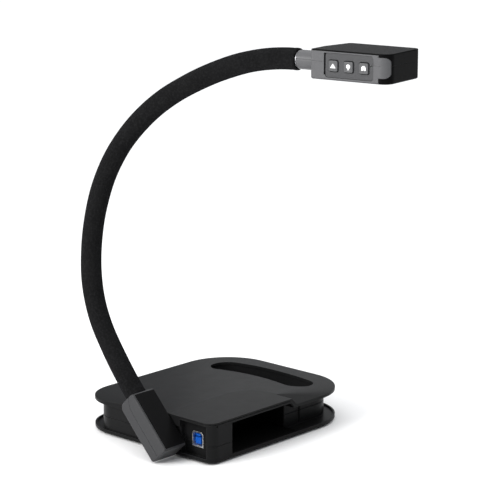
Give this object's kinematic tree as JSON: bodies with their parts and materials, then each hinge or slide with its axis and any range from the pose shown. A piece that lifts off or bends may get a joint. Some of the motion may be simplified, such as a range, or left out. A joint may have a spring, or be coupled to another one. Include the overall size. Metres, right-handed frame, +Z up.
{
  "type": "document camera",
  "caption": "Document camera with a flat base, a folding foot block, a sleeved gooseneck and a level camera head with push keys.",
  "frame": {"origin": "centre of the base's footprint, on the table under the rubber feet", "axes": "+Z up, +X to the right along the front edge, +Y to the back"},
  "size_m": [0.2275, 0.3169, 0.371],
  "materials": {
    "casing_black": "dark charcoal moulded plastic, fine satin texture",
    "dock_black": "black inner tray",
    "rubber_black": "matt rubber",
    "screw_steel": "zinc plated",
    "ballast_steel": "rolled plate",
    "board_green": "circuit board lacquer",
    "chip_black": "moulded chips",
    "brass": "turned",
    "socket_metal": "stamped and plated",
    "socket_blue": "blue insulator",
    "shaft_steel": "ground",
    "bush_plastic": "black acetal",
    "cover_grey": "mid grey satin plastic",
    "head_grey": "light grey satin plastic on the head",
    "head_black": "near-black plastic, smooth sides and a finely hatched top",
    "cover_black": "near-black satin plastic",
    "cast_zinc": "die cast",
    "gooseneck_steel": "wound gooseneck tube",
    "sleeve_fabric": "fine matt knitted sleeve over foam",
    "key_grey": "satin key caps with white symbols",
    "key_panel_grey": "satin panel",
    "light_clear": "light pipe",
    "lens_glass": "coated optical glass",
    "lens_black": "matt black lens tube",
    "lamp_diffuser": "frosted window",
    "lamp_white": "light emitter on its board"
  },
  "bodies": {
    "base": {"upper_casing": "casing_black", "lower_casing": "casing_black", "dock_tray": "dock_black", "rubber_feet": "rubber_black", "case_screws": "screw_steel", "ballast_plate": "ballast_steel", "main_board": "board_green", "main_board_chips": "chip_black", "board_spacers": "brass", "board_screws": "screw_steel", "usb_board": "board_green", "usb_socket_shell": "socket_metal", "usb_socket_tongue": "socket_blue", "hinge_bracket": "ballast_steel", "hinge_bush": "bush_plastic"},
    "foot_block": {"hinge_shaft": "shaft_steel", "spring_washers": "screw_steel", "hinge_nut": "screw_steel", "block_outer_cover": "cover_grey", "block_front_cover": "cover_black", "block_rear_cover": "cover_grey", "block_core": "cast_zinc", "block_screws": "screw_steel", "lower_ferrule": "shaft_steel", "sleeve_1": "sleeve_fabric", "gooseneck_core_1": "gooseneck_steel"},
    "neck_2": {"sleeve_2": "sleeve_fabric", "gooseneck_core_2": "gooseneck_steel"},
    "neck_3": {"sleeve_3": "sleeve_fabric", "gooseneck_core_3": "gooseneck_steel"},
    "neck_4": {"sleeve_4": "sleeve_fabric", "gooseneck_core_4": "gooseneck_steel"},
    "neck_5": {"sleeve_5": "sleeve_fabric", "gooseneck_core_5": "gooseneck_steel"},
    "neck_6": {"sleeve_6": "sleeve_fabric", "gooseneck_core_6": "gooseneck_steel"},
    "neck_7": {"sleeve_7": "sleeve_fabric", "gooseneck_core_7": "gooseneck_steel", "upper_ferrule": "shaft_steel"},
    "camera_head": {"swivel_collar": "head_grey", "head_upper_shell": "head_black", "head_lower_shell": "head_black", "side_plate": "head_grey", "key_panel": "key_panel_grey", "status_light": "light_clear", "key_mat": "rubber_black", "key_board": "board_green", "head_screws": "screw_steel", "lens_bezel": "lens_black", "lens_window": "lens_glass", "lens_barrel": "lens_black", "front_lens": "lens_glass", "sensor_board": "board_green", "lamp_window": "lamp_diffuser", "lamp_led": "lamp_white"},
    "rotate_button": {"rotate_key": "key_grey"},
    "lamp_button": {"lamp_key": "key_grey"},
    "freeze_button": {"freeze_key": "key_grey"}
  },
  "joints": [
    {"name": "block_fold", "type": "hinge", "parent": "base", "child": "foot_block", "pos_m": [-0.101, -0.0365, 0.0174], "axis": [1, 0, 0], "range_deg": [-46, 25]},
    {"name": "neck_bend_1", "type": "hinge", "parent": "foot_block", "child": "neck_2", "pos_m": [-0.11056, 0.03482, 0.10033], "axis": [0.9781, 0.1521, -0.1418], "range_deg": [-20, 10]},
    {"name": "neck_bend_2", "type": "hinge", "parent": "neck_2", "child": "neck_3", "pos_m": [-0.10559, 0.05809, 0.15959], "axis": [0.9781, 0.1521, -0.1418], "range_deg": [-20, 10]},
    {"name": "neck_bend_3", "type": "hinge", "parent": "neck_3", "child": "neck_4", "pos_m": [-0.09607, 0.05602, 0.22305], "axis": [0.9781, 0.1521, -0.1418], "range_deg": [-20, 10]},
    {"name": "neck_bend_4", "type": "hinge", "parent": "neck_4", "child": "neck_5", "pos_m": [-0.08376, 0.03018, 0.28026], "axis": [0.9781, 0.1521, -0.1418], "range_deg": [-20, 10]},
    {"name": "neck_bend_5", "type": "hinge", "parent": "neck_5", "child": "neck_6", "pos_m": [-0.07043, -0.01646, 0.32222], "axis": [0.9781, 0.1521, -0.1418], "range_deg": [-20, 10]},
    {"name": "neck_bend_6", "type": "hinge", "parent": "neck_6", "child": "neck_7", "pos_m": [-0.05766, -0.07358, 0.34903], "axis": [0.9781, 0.1521, -0.1418], "range_deg": [-20, 10]},
    {"name": "head_swivel", "type": "hinge", "parent": "neck_7", "child": "camera_head", "pos_m": [-0.04646, -0.13595, 0.35945], "axis": [0.1536, -0.9881, 0], "range_deg": [-90, 90]},
    {"name": "rotate_press", "type": "slide", "parent": "camera_head", "child": "rotate_button", "axis": [0.9881, 0.1536, 0], "range_m": [0, 0.0006], "stiffness_N_per_m": 900},
    {"name": "lamp_press", "type": "slide", "parent": "camera_head", "child": "lamp_button", "axis": [0.9881, 0.1536, 0], "range_m": [0, 0.0006], "stiffness_N_per_m": 900},
    {"name": "freeze_press", "type": "slide", "parent": "camera_head", "child": "freeze_button", "axis": [0.9881, 0.1536, 0], "range_m": [0, 0.0006], "stiffness_N_per_m": 900}
  ]
}
